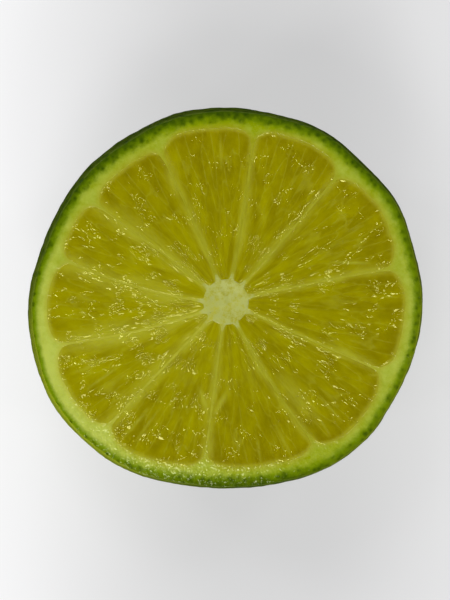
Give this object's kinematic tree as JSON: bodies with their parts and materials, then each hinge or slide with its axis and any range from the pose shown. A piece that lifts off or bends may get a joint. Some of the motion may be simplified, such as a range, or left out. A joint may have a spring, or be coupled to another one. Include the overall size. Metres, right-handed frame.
{
  "type": "lime half",
  "caption": "Half a fresh green lime cut across its middle, resting on its stem end with the segmented cut face up.",
  "frame": {"origin": "on the surface that the half fruit rests on, under the middle of its outline", "axes": "+Z up, along the fruit's core from the stem end to the cut; +X to the right and +Y up when the cut face is seen from above"},
  "size_m": [0.057, 0.055, 0.029],
  "materials": {
    "peel": "waxy green rind with fine oil glands, satin",
    "pith": "pale yellow-green pith, membranes and core, moist and matt",
    "pulp": "translucent olive-green juice sacs, wet and glossy",
    "stem_scar": "dry brown corky button, matt"
  },
  "bodies": {
    "root": {"lime_half": "peel"}
  },
  "joints": []
}
